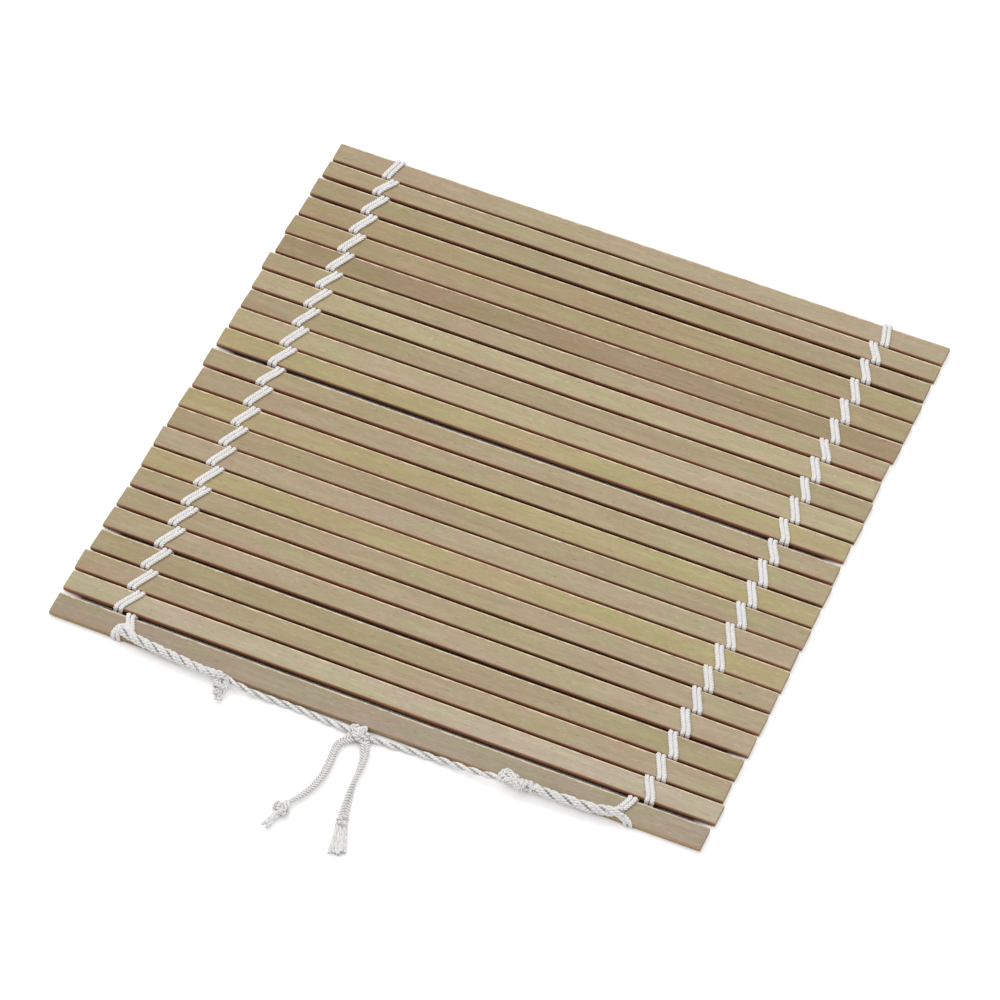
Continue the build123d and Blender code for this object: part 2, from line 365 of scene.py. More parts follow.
@dataclass(frozen=True)
class BambooFinish:
    """Raw split bamboo: a smooth streaky skin, sawn brown edges with painted shade low down, and pale
    arrises.
    """

    tone: SlatTone
    # Whether the sides take the lit copy, with lighter painted shade, as the tied slat's open near side
    # does.
    lit_open_edge: bool = False
    rim: Colour = (238, 217, 183)

    def name(self, surface: SlatSurface) -> str:
        """The material's name for one kind of surface."""
        light = "_open" if self.lit_open_edge else ""
        return f"bamboo_{self.tone.name.lower()}{light}_{surface.value}"

    def material(self, surface: SlatSurface) -> Material:
        """Makes a surface's material, or finds it if it has been made.

        Args:
            surface: Which of the slat's surfaces it dresses.

        Returns:
            The material.
        """
        found = bpy.data.materials.get(self.name(surface))
        if found is not None:
            return found
        makers = {
            SlatSurface.SKIN: self.skin,
            SlatSurface.EDGE: self.edge,
            SlatSurface.ARRIS: self.arris,
            SlatSurface.END: self.end,
            SlatSurface.PITH: self.pith,
        }
        return makers[surface]()

    def toned(self, red: float, green: float, blue: float) -> Shade:
        """The tone multiplied part by part."""
        base = linear(self.tone.value)
        return base[0] * red, base[1] * green, base[2] * blue, 1.0

    def skin(self) -> Material:
        """The upper face: soft patches, long streaks, fine fibres, a pale rim at its far edge and painted
        light along its length.
        """
        sheet = NodeSheet(self.name(SlatSurface.SKIN))
        broad = sheet.cloud((17.0, 60.0, 30.0), 2.0, 0.5)
        patch = sheet.cloud((42.0, 170.0, 30.0), 2.0, 0.5, (5.0, 3.3, 0.0))
        streak = sheet.cloud((55.0, 560.0, 200.0), 3.0, 0.6, (3.1, 7.7, 0.0))
        fibre = sheet.cloud((330.0, 2300.0, 900.0), 2.0, 0.6, (0.0, 1.3, 0.0))
        fleck = sheet.cloud((420.0, 1300.0, 400.0), 1.0, 0.5, (9.0, 2.0, 0.0))
        stain = sheet.cloud((300.0, 1000.0, 300.0), 2.0, 0.5, (4.0, 12.0, 0.0))
        colour = sheet.layers(self.toned(1.03, 0.96, 1.06), [
            (broad, 0.34, 0.66, 1.0, self.toned(0.98, 1.03, 0.9)),
            (patch, 0.52, 0.7, 0.85, self.toned(1.04, 0.91, 0.95)),
            (patch, 0.46, 0.3, 0.85, self.toned(0.95, 1.05, 0.88)),
            (streak, 0.4, 0.75, 0.6, self.toned(0.84, 0.8, 0.76)),
            (streak, 0.46, 0.25, 0.55, self.toned(1.15, 1.15, 1.17)),
            (fibre, 0.45, 0.8, 0.6, self.toned(0.76, 0.72, 0.67)),
            (fleck, 0.62, 0.76, 0.6, self.toned(1.28, 1.28, 1.32)),
            (stain, 0.63, 0.78, 0.65, self.toned(0.6, 0.54, 0.48)),
        ])
        # Painted light: darker and warmer towards the left end, lighter, greyer and bluer towards the right,
        # standing in for sheen and uneven light.
        slope = sheet.ramp(sheet.place(0), -0.12, 0.12)
        painted_light_tint = sheet.blend(slope, (0.955, 0.945, 0.93, 1.0), (1.04, 1.055, 1.1, 1.0))
        colour = sheet.blend(1.0, colour, painted_light_tint, "MULTIPLY")
        ragged = sheet.cloud((260.0, 60.0, 60.0), 3.0, 0.65, (8.0, 0.0, 0.0))
        inward = sheet.sums("ADD", sheet.chart("slat", 1), sheet.ramp(ragged, 0.3, 0.7, -0.2, 0.35))
        relief = sheet.sums("ADD", sheet.sums("MULTIPLY", fibre, 0.5), streak)
        return sheet.shade({
            "Base Color": sheet.layers(colour, [(inward, 0.78, 0.42, 0.95, linear(self.rim))]),
            "Roughness": sheet.ramp(streak, 0.3, 0.7, 0.5, 0.68),
            "Specular IOR Level": 0.28,
            "Normal": sheet.bump(relief, 0.3, 0.00012),
        })

    def edge(self) -> Material:
        """The long sides: brown sawn flesh with slanting saw marks, and painted shade that makes them darker
        towards the underside.
        """
        sheet = NodeSheet(self.name(SlatSurface.EDGE))
        grain = sheet.cloud((30.0, 300.0, 2600.0), 3.0, 0.6)
        patch = sheet.cloud((17.0, 20.0, 260.0), 2.0, 0.5, (5.0, 0.0, 0.0))
        warm = sheet.cloud((9.0, 61.0, 1.0), 1.0, 0.5, (2.0, 4.0, 0.0))
        marks = sheet.waves(sheet.stretched((1.0, 0.0, 0.55)), "X", 330.0, 1.6, 2.0, 1.2)
        # Painted shade: dark brown low on the sides, reddish brown near the top; the lit copy for the tied
        # slat's open near side is painted lighter throughout.
        low, high = (70, 44, 22), (206, 152, 120)
        if self.lit_open_edge:
            low, high = (168, 144, 104), (205, 178, 142)
        height = sheet.sums("ADD", sheet.place(2), sheet.ramp(patch, 0.3, 0.7, -0.0003, 0.0003))
        colour = sheet.layers(linear(low), [
            (height, 0.0011, 0.0023, 1.0, linear(high)),
            (warm, 0.46, 0.66, 0.65, linear((192, 122, 92))),
            (warm, 0.46, 0.3, 0.6, linear((92, 68, 34))),
            (grain, 0.45, 0.8, 0.5, linear((100, 68, 46))),
            (marks, 0.3, 0.9, 0.22, linear((205, 162, 126))),
        ])
        return sheet.shade({
            "Base Color": colour,
            "Roughness": 0.78,
            "Specular IOR Level": 0.2,
            "Normal": sheet.bump(sheet.sums("ADD", marks, grain), 0.45, 0.00012),
        })

    def arris(self) -> Material:
        """The long rounded corners: cream at the far side and pinkish at the near side."""
        sheet = NodeSheet(self.name(SlatSurface.ARRIS))
        torn = sheet.cloud((140.0, 900.0, 900.0), 3.0, 0.6)
        colour = sheet.layers(linear(self.rim), [
            (sheet.chart("slat", 1), 1.0, 2.0, 1.0, linear((184, 150, 122))),
            (torn, 0.4, 0.7, 0.55, self.toned(0.8, 0.68, 0.58)),
        ])
        relief = sheet.bump(torn, 0.3, 0.0001)
        return sheet.shade({"Base Color": colour, "Roughness": 0.7, "Normal": relief})

    def end(self) -> Material:
        """The cut ends: dull grey-brown with dots of fibre bundles."""
        sheet = NodeSheet(self.name(SlatSurface.END))
        inputs = {"Vector": sheet.stretched((600.0, 1900.0, 2300.0)), "Scale": 1.0}
        bundles = sheet.add("ShaderNodeTexVoronoi", inputs).outputs["Distance"]
        rough = sheet.cloud((400.0, 500.0, 900.0), 3.0, 0.6)
        colour = sheet.layers(linear((150, 128, 98)), [
            (rough, 0.3, 0.7, 1.0, linear((196, 176, 143))),
            (bundles, 0.4, 0.12, 0.6, linear((96, 66, 44))),
        ])
        relief = sheet.bump(rough, 0.5, 0.00015)
        return sheet.shade({"Base Color": colour, "Roughness": 0.85, "Normal": relief})

    def pith(self) -> Material:
        """The underside, from the inside of the cane: paler, coarser and open-grained."""
        sheet = NodeSheet(self.name(SlatSurface.PITH))
        grain = sheet.cloud((22.0, 1500.0, 500.0), 4.0, 0.65)
        broad = sheet.cloud((14.0, 90.0, 30.0), 2.0, 0.5, (2.0, 0.0, 0.0))
        colour = sheet.layers(linear((205, 184, 144)), [
            (grain, 0.3, 0.7, 1.0, linear((168, 139, 99))),
            (broad, 0.4, 0.7, 0.5, linear((190, 158, 118))),
        ])
        relief = sheet.bump(grain, 0.5, 0.00015)
        return sheet.shade({"Base Color": colour, "Roughness": 0.8, "Normal": relief})


@dataclass(frozen=True)
class CottonFinish:
    """Undyed cotton yarn: off-white, matt and faintly fibrous, with painted shade in the crevices between
    its plies and strands.
    """

    name: str = "cotton_yarn"
    bright: Colour = (252, 251, 249)
    shade: Colour = (218, 214, 211)
    hollow_shade: Colour = (166, 160, 156)

    def material(self) -> Material:
        """Makes the yarn's material, or finds it if it has been made."""
        found = bpy.data.materials.get(self.name)
        if found is not None:
            return found
        sheet = NodeSheet(self.name)
        lines = sheet.add("ShaderNodeUVMap", uv_map="yarn").outputs[0]
        fibres = sheet.waves(lines, "DIAGONAL", 1.6, 2.5, 3.0, 2.0)
        tufts = sheet.cloud((900.0, 900.0, 900.0), 3.0, 0.6)
        depth = sheet.add("ShaderNodeAttribute", attribute_name="depth").outputs["Fac"]
        return sheet.shade({
            "Base Color": sheet.layers(linear(self.bright), [
                (tufts, 0.62, 0.3, 0.5, linear(self.shade)),
                (fibres, 0.45, 0.0, 0.35, linear(self.shade)),
                # Painted shade: darker where the depth attribute marks the yarn as lying in a crevice
                # between plies or strands.
                (depth, 0.78, 0.5, 0.75, linear(self.hollow_shade)),
            ]),
            "Roughness": 0.92,
            "Specular IOR Level": 0.15,
            "Sheen Weight": 0.25,
            "Sheen Roughness": 0.6,
            "Normal": sheet.bump(sheet.sums("ADD", fibres, tufts), 0.35, 0.00008),
        })


@dataclass
class PhotographCamera:
    """The camera at the photograph's place, angle and lens."""

    eye_mm: Point = (390.215, -1056.594, 1343.551)
    azimuth_deg: float = 20.43
    elevation_deg: float = 50.26
    roll_deg: float = 3.38
    lens_mm: float = 179.08
    sensor_mm: float = 36.0

    def place(self) -> None:
        """Adds the camera and makes it the scene's own."""
        turn, lift, roll = (math.radians(a) for a in (self.azimuth_deg, self.elevation_deg, self.roll_deg))
        flat = math.cos(lift)
        forward = Vector((-math.sin(turn) * flat, math.cos(turn) * flat, -math.sin(lift)))
        level = forward.cross(Vector((0, 0, 1))).normalized()
        upright = level.cross(forward)
        right = level * math.cos(roll) + upright * math.sin(roll)
        up = right.cross(forward)
        data = bpy.data.cameras.new("camera")
        data.lens = self.lens_mm
        data.sensor_width = self.sensor_mm
        camera = put("camera", data)
        rotation = Matrix((right, up, -forward)).transposed().to_4x4()
        camera.matrix_world = Matrix.Translation(Vector(self.eye_mm) * MM) @ rotation
        bpy.context.scene.camera = camera


@dataclass
class SoftStudio:
    """A plain pale floor under soft lamps, with painted shade in the gaps under the mat."""

    floor_half_m: float = 2.5
    world_strength: float = 0.47
    floor_lift: float = 0.36
    key_watts: float = 19.5
    key_size_m: float = 2.0
    key_place: Point = (-0.55, 0.5, 1.5)
    fill_watts: float = 5.2
    fill_size_m: float = 1.4
    fill_place: Point = (0.7, -1.2, 1.1)
    mat_half_m: tuple[float, float] = (0.119, 0.122)
    mat_fade_m: tuple[float, float] = (0.006, 0.0015)
    hollow_reach_m: float = 0.005
    painted_shade_colour: Shade = (0.05, 0.035, 0.02, 1.0)
    floor_colour: Shade = (0.86, 0.86, 0.86, 1.0)

    def floor(self) -> None:
        """Lays the floor, which shows white to the camera but for the mat's soft shadow and painted shade in
        the gaps under the mat and in the deepest recesses.
        """
        bpy.ops.mesh.primitive_plane_add(size=self.floor_half_m * 2, location=(0, 0, 0))
        floor = bpy.context.object
        floor.name = "floor"
        sheet = NodeSheet("floor_white")
        inputs = {"Distance": self.hollow_reach_m}
        hollow_shade = sheet.add("ShaderNodeAmbientOcclusion", inputs, samples=8).outputs["AO"]
        # Painted shade: under the mat where the floor lies deep, and in the deepest recesses anywhere, the
        # floor is painted near-black brown and loses its glow.
        under = []
        for axis, (half, fade) in enumerate(zip(self.mat_half_m, self.mat_fade_m)):
            away = sheet.sums("ABSOLUTE", sheet.place(axis), 0.0)
            under.append(sheet.ramp(away, half - fade, half, 1.0, 0.0))
        deep, deepest = sheet.ramp(hollow_shade, 0.46, 0.64, 1.0, 0.0), sheet.ramp(hollow_shade, 0.1, 0.34, 1.0, 0.0)
        gap = sheet.sums("MULTIPLY", sheet.sums("MULTIPLY", *under), deep)
        dark = sheet.sums("MAXIMUM", gap, deepest)
        clear = sheet.sums("SUBTRACT", 1.0, dark)
        rays = sheet.add("ShaderNodeLightPath").outputs
        seen = sheet.sums("MAXIMUM", rays["Is Camera Ray"], rays["Is Glossy Ray"])
        seen = sheet.sums("MAXIMUM", seen, rays["Is Transmission Ray"])
        glow = sheet.sums("MULTIPLY", clear, self.floor_lift)
        sheet.shade({
            "Base Color": sheet.blend(clear, self.painted_shade_colour, self.floor_colour),
            "Roughness": 1.0,
            "Specular IOR Level": 0.0,
            "Emission Color": WHITE,
            "Emission Strength": sheet.sums("MULTIPLY", seen, glow),
        })
        floor.data.materials.append(sheet.material)

    def lamp(self, name: str, place: Point, watts: float, size: float) -> None:
        """Hangs one square soft lamp that points at the mat.

        Args:
            name: The lamp's name.
            place: Where it hangs, in metres.
            watts: Its power.
            size: Its side.
        """
        data = bpy.data.lights.new(name, "AREA")
        data.energy = watts
        data.size = size
        lamp = put(name, data)
        lamp.location = place
        lamp.rotation_euler = (-Vector(place)).to_track_quat("-Z", "Y").to_euler()

    def sky(self) -> None:
        """Gives the world an even white that the camera sees as white."""
        world = bpy.context.scene.world or bpy.data.worlds.new("studio")
        bpy.context.scene.world = world
        world.use_nodes = True
        nodes, links = world.node_tree.nodes, world.node_tree.links
        nodes.clear()
        output = nodes.new("ShaderNodeOutputWorld")
        mixed = nodes.new("ShaderNodeMixShader")
        path = nodes.new("ShaderNodeLightPath")
        links.new(path.outputs["Is Camera Ray"], mixed.inputs[0])
        for number, strength in ((1, self.world_strength), (2, 1.0)):
            even = nodes.new("ShaderNodeBackground")
            even.inputs["Strength"].default_value = strength
            even.inputs["Color"].default_value = WHITE
            links.new(even.outputs[0], mixed.inputs[number])
        links.new(mixed.outputs[0], output.inputs["Surface"])

    def build(self) -> None:
        """Sets up the floor, the lamps and the world."""
        self.floor()
        self.lamp("key", self.key_place, self.key_watts, self.key_size_m)
        self.lamp("fill", self.fill_place, self.fill_watts, self.fill_size_m)
        self.sky()
        bpy.context.scene.view_settings.view_transform = "Standard"


@dataclass
class Slats:
    """The bamboo slats, each shaped from one blank."""

    sizes: MatSizes
    spare: float = 4.0
    arris: float = 0.28
    arris_steps: int = 3
    cuts: int = 150
    end_round: float = 0.14
    end_steps: int = 2
    skew: float = 0.28
    wander: float = 0.11
    slow_waves: float = 22.0
    quick_waves: float = 260.0
    bend: float = 0.03
    bend_waves: float = 9.0
    smooth_deg: float = 35.0
    end_facing: float = 0.5
    flat_facing: float = 0.97
    pith_facing: float = 0.9
    skin_facing: float = 0.1
    seed: int = 100
    tones: str = (
        "GREY ASH STRAW DULL SAND STRAW STRAW MOSS SAND DULL MOSS STRAW "
        "STRAW MOSS PALE DULL PALE STRAW BROWN OLIVE OLIVE DULL STRAW SAND"
    )

    def blank(self) -> Piece:
        """Models a strip, longer than any slat, with worn long corners.

        Returns:
            The blank, centred on the origin.
        """
        sizes = self.sizes
        length = sizes.slat_length + 2 * (sizes.end_scatter + self.spare)
        shape = (length * MM, sizes.slat_width * MM, sizes.slat_thickness * MM)
        bpy.ops.mesh.primitive_cube_add(size=1.0, location=(0, 0, 0), scale=shape)
        blank = bpy.context.object
        blank.name = "slat_blank"
        choose(blank)
        bpy.ops.object.transform_apply(location=True, rotation=True, scale=True)
        self.select_long(blank)
        with editing():
            round_edges(self.arris, self.arris_steps)
        self.select_long(blank)
        with editing():
            bpy.ops.mesh.subdivide(number_cuts=self.cuts)
        return blank

    def select_long(self, piece: Piece) -> None:
        """Selects the edges that run along the slat, and nothing else."""
        bpy.context.tool_settings.mesh_select_mode = (False, True, False)
        mesh = piece.data
        for item in (*mesh.polygons, *mesh.vertices):
            item.select = False
        for edge in mesh.edges:
            start, stop = (mesh.vertices[v].co for v in edge.vertices)
            run = stop - start
            edge.select = abs(run.x) > 0.9 * run.length

    def cut_end(self, piece: Piece, x: float, side: int, slope: float) -> None:
        """Saws one end off, slightly out of square, and rounds the cut's rim.

        Args:
            piece: The slat.
            x: Where the cut crosses the slat's middle, in metres.
            side: -1 for the left end and 1 for the right.
            slope: How far out of square the cut is, as a rise over run.
        """
        choose(piece)
        middle = sum((v.co.y for v in piece.data.vertices), 0.0) / len(piece.data.vertices)
        with editing():
            bpy.ops.mesh.select_all(action="SELECT")
            bpy.ops.mesh.bisect(
                plane_co=(x, middle, 0), plane_no=(side, slope, 0), use_fill=True, clear_outer=True,
                threshold=1e-7,
            )
            bpy.ops.mesh.select_mode(type="FACE")
            bpy.ops.mesh.select_all(action="DESELECT")
        for polygon in piece.data.polygons:
            polygon.select = side * polygon.normal.x > 0.9
        with editing():
            bpy.ops.mesh.region_to_loop()
            round_edges(self.end_round, self.end_steps)

    def wear(self, piece: Piece, index: int) -> None:
        """Lets the long edges wander a little, as split bamboo does.

        Args:
            piece: The slat, in place.
            index: Its place in the mat.
        """
        near, far = self.sizes.near(index) * MM, self.sizes.far(index) * MM
        middle, half = (near + far) / 2, (far - near) / 2
        for vertex in piece.data.vertices:
            x = vertex.co.x
            reach = (vertex.co.y - middle) / half
            side = 1 if reach > 0 else -1
            slow = noise.noise(Vector((x * self.slow_waves, index * 5.7 + side * 2.3, 0.0)))
            quick = noise.noise(Vector((x * self.quick_waves, index * 9.1 + side * 4.1, 6.0)))
            pull = min(0.0, slow * 0.75 + quick * 0.3 - 0.15)
            vertex.co.y += reach * abs(reach) * pull * self.wander * 2 * MM
            vertex.co.z += noise.noise(Vector((x * self.bend_waves, index * 3.3, 11.0))) * self.bend * MM

    def chart(self, piece: Piece, index: int) -> None:
        """Maps the slat: how far along it a point is, and how far in from its far edge, in millimetres."""
        places = np.zeros(len(piece.data.vertices) * 3)
        piece.data.vertices.foreach_get("co", places)
        places = places.reshape(-1, 3) / MM
        inward = self.sizes.far(index) - places[:, 1]
        write_map(piece.data, "slat", np.stack([places[:, 0], inward], axis=1))

    def kind(self, normal: Vector) -> SlatSurface:
        """The surface that a face is part of, by the way it faces."""
        if abs(normal.x) > self.end_facing:
            return SlatSurface.END
        if normal.z > self.flat_facing:
            return SlatSurface.SKIN
        if normal.z < -self.pith_facing:
            return SlatSurface.PITH
        if abs(normal.y) > self.flat_facing or normal.z < self.skin_facing:
            return SlatSurface.EDGE
        return SlatSurface.ARRIS

    def dress(self, piece: Piece, index: int) -> None:
        """Gives each face the finish of the surface that it is part of."""
        finish = BambooFinish(SlatTone[self.tones.split()[index]], lit_open_edge=index == 0)
        kinds = list(SlatSurface)
        piece.data.materials.clear()
        for kind in kinds:
            piece.data.materials.append(finish.material(kind))
        for polygon in piece.data.polygons:
            polygon.material_index = kinds.index(self.kind(polygon.normal))

    def slat(self, blank: Piece, index: int) -> None:
        """Copies the blank, cuts it to its own size and lays it in its place.

        Args:
            blank: The blank.
            index: The slat's place, from the tied edge.
        """
        sizes = self.sizes
        dice = random.Random(self.seed + index)
        piece = blank.copy()
        piece.data = blank.data.copy()
        piece.name = piece.data.name = f"bamboo_slat_{index + 1:02d}"
        bpy.context.scene.collection.objects.link(piece)
        share = sizes.width_shares[index]
        middle = (sizes.near(index) + sizes.far(index)) / 2
        height = (sizes.bottom + sizes.top) / 2
        for vertex in piece.data.vertices:
            vertex.co.y = vertex.co.y * share + middle * MM
            vertex.co.z += height * MM
        for side, x in zip(SIDES, (sizes.left(index), sizes.right(index))):
            slope = dice.uniform(-1, 1) * self.skew / sizes.slat_width
            inset = abs(slope) * sizes.width(index) / 2
            self.cut_end(piece, (x - side * inset) * MM, side, slope)
        self.chart(piece, index)
        self.wear(piece, index)
        self.dress(piece, index)
        choose(piece)
        bpy.ops.object.shade_smooth_by_angle(angle=math.radians(self.smooth_deg))
        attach(piece, sizes.body(index))
        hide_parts(f"slat_{index + 1:02d}")

    def build(self) -> None:
        """Makes every slat, from the tied edge to the far edge."""
        blank = self.blank()
        for index in range(self.sizes.count):
            self.slat(blank, index)
        bpy.data.objects.remove(blank)
        LOG.info("slats: %d, mat depth %.1f mm", self.sizes.count, self.sizes.depth)


class Lay(Enum):
    """How the threads of a cord lie round each other."""

    TWISTED = "twisted"
    DOUBLED = "doubled"
    BESIDE = "beside"


def nurbs_points(route: list[Point], spacing: float = 0.28) -> Array:
    """Reads points from a smooth line that has a route as its control points.

    Args:
        route: The route, in millimetres.
        spacing: About how far apart the points are, in millimetres.

    Returns:
        Points in metres, evenly spaced.
    """
    data = bpy.data.curves.new("line", "CURVE")
    data.dimensions = "3D"
    data.resolution_u = 24
    spline = data.splines.new("NURBS")
    spline.points.add(len(route) - 1)
    for point, place in zip(spline.points, route):
        point.co = (*(value * MM for value in place), 1.0)
    spline.order_u = 3
    spline.use_endpoint_u = True
    line = bpy.data.objects.new("line", data)
    mesh = bpy.data.meshes.new_from_object(line)
    read = np.array([v.co for v in mesh.vertices], float)
    bpy.data.objects.remove(line)
    bpy.data.curves.remove(data)
    bpy.data.meshes.remove(mesh)
    along = lengths(read)
    steps = max(4, round(along[-1] / (spacing * MM)))
    wanted = np.linspace(0.0, along[-1], steps + 1)
    return np.stack([np.interp(wanted, along, read[:, axis]) for axis in range(3)], axis=1)


def shifted(start: Point, steps: tuple[Point, ...]) -> list[Point]:
    """The places of a route that is given by its distances from a start."""
    return [(start[0] + x, start[1] + y, start[2] + z) for x, y, z in steps]


def unit(rows: Array) -> Array:
    """Rows made one long."""
    return rows / np.maximum(np.linalg.norm(rows, axis=1, keepdims=True), 1e-12)


def lengths(points: Array) -> Array:
    """How far along its line each point is."""
    return np.concatenate([[0.0], np.cumsum(np.linalg.norm(np.diff(points, axis=0), axis=1))])


def level_sides(points: Array) -> Array:
    """Level sideways directions along a line."""
    return unit(np.cross(np.gradient(points, axis=0), np.array([0.0, 0.0, 1.0])))


def steady_sides(points: Array, steady: Array) -> Array:
    """Sideways directions along a line that keep as near as they can to a steady one."""
    tangent = unit(np.gradient(points, axis=0))
    return unit(steady - (tangent @ steady)[:, None] * tangent)


def carried_sides(points: Array, first: Point) -> Array:
    """Sideways directions carried along a line without turning round it.

    Args:
        points: The line.
        first: The direction at its start.

    Returns:
        A direction for each point.
    """
    tangent = unit(np.gradient(points, axis=0))
    side = np.zeros_like(points)
    before = np.array(first, float)
    for k in range(len(points)):
        kept = before - tangent[k] * float(before @ tangent[k])
        before = kept / max(float(np.linalg.norm(kept)), 1e-9)
        side[k] = before
    return side


class YarnMesh:
    """Gathers round plies into one mesh, with map_repeat millimetres to a repeat of the yarn's map."""

    map_repeat: float = 1.1

    def __init__(self, sides: int = 8) -> None:
        """Starts an empty mesh.

        Args:
            sides: Corners of a ply's section.
        """
        self.sides = sides
        self.verts: list[Array] = []
        self.faces: list[tuple[int, ...]] = []
        self.marks: list[Array] = []
        self.shade_depths: list[Array] = []
        self.total = 0

    def ply(
        self, centre: Array, side: Array, up: Array, radius: Array, press: Array,
        hearts: Hearts,
    ) -> None:
        """Adds one ply as a closed tube.

        Args:
            centre: Its middle line.
            side: Sideways directions.
            up: Upward directions.
            radius: Its radius at each point.
            press: Its height as a share of its width at each point.
            hearts: The lines it winds round and their outer reach; what lies near one of them gets painted
                shade.
        """
        count, sides = len(centre), self.sides
        turns = np.linspace(0.0, 2 * math.pi, sides, endpoint=False)
        ring = np.cos(turns)[None, :, None] * side[:, None, :]
        ring = ring + (press[:, None] * np.sin(turns)[None, :])[:, :, None] * up[:, None, :]
        body = centre[:, None, :] + radius[:, None, None] * ring
        # Painted shade: each point's distance from the nearest heart as a share of its reach; the cotton is
        # painted darker where it is small.
        depth = np.ones(body.shape[:2])
        for heart, reach in hearts:
            apart = body - heart[:, None, :]
            across = np.einsum("ijk,ik->ij", apart, side)
            above = np.einsum("ijk,ik->ij", apart, up) / press[:, None]
            depth = np.minimum(depth, np.hypot(across, above) / reach)
        self.shade_depths += [depth.ravel(), np.ones(2)]
        start = self.total
        self.verts += [body.reshape(-1, 3), centre[:1], centre[-1:]]
        along = lengths(centre) / (self.map_repeat * MM)
        grid = np.stack(np.broadcast_arrays(along[:, None], (turns / (2 * math.pi))[None, :]), axis=2)
        ends = np.array([[along[0], 0.0], [along[-1], 0.0]])
        self.marks += [grid.reshape(-1, 2), ends]
        corners = [(k, (k + 1) % sides) for k in range(sides)]
        for base in range(start, start + (count - 1) * sides, sides):
            top = base + sides
            self.faces += [(base + k, base + after, top + after, top + k) for k, after in corners]
        first, last = start + count * sides, start + count * sides + 1
        base = start + (count - 1) * sides
        for k, after in corners:
            self.faces += [(start + after, start + k, first), (base + k, base + after, last)]
        self.total += count * sides + 2

    def finish(self, name: str) -> Piece:
        """Makes the object.

        Args:
            name: The piece's name.

        Returns:
            The piece, with its yarn map and its cotton.
        """
        mesh = bpy.data.meshes.new(name)
        mesh.from_pydata(np.concatenate(self.verts).tolist(), [], self.faces)
        write_map(mesh, "yarn", np.concatenate(self.marks))
        # The depth attribute carries the painted shade of the yarn's crevices.
        depth = mesh.attributes.new("depth", "FLOAT", "POINT")
        depth.data.foreach_set("value", np.concatenate(self.shade_depths).astype(np.float32))
        mesh.materials.append(CottonFinish().material())
        mesh.shade_smooth()
        mesh.update()
        piece = put(name, mesh)
        choose(piece)
        with editing():
            bpy.ops.mesh.select_all(action="SELECT")
            bpy.ops.mesh.normals_make_consistent(inside=False)
        return piece


@dataclass
class Thread:
    """A thread of plies laid round each other; helix and ply are shares of its diameter."""

    diameter: float = 1.78
    turn: float = 2.8
    hand: int = 1
    phase: float = 0.0
    helix: float = 0.19
    ply: float = 0.35
    plies: int = 2

    def along(
        self, yarn: YarnMesh, points: Array, side: Array | None = None, press: Array | float = 1.0,
        within: Hearts | None = None,
    ) -> None:
        """Lays the thread along a line.

        Args:
            yarn: The mesh that takes its plies.
            points: The line, in metres.
            side: Sideways directions along it, or none for level ones.
            press: The thread's height as a share of its width.
            within: The line of the cord it belongs to and the cord's radius.
        """
        side = level_sides(points) if side is None else side
        up = np.cross(side, unit(np.gradient(points, axis=0)))
        hearts = [(points, self.diameter * (self.helix + self.ply) * MM)] + (within or [])
        height = np.broadcast_to(np.asarray(press, float), len(points))
        size = np.full(len(points), self.diameter * self.ply * MM)
        angle = self.phase + self.hand * 2 * math.pi * lengths(points) / (self.turn * MM)
        for ply in range(self.plies):
            bearing = angle + 2 * math.pi * ply / self.plies
            offset = np.cos(bearing)[:, None] * side + (height * np.sin(bearing))[:, None] * up
            yarn.ply(points + self.diameter * self.helix * MM * offset, side, up, size, height, hearts)


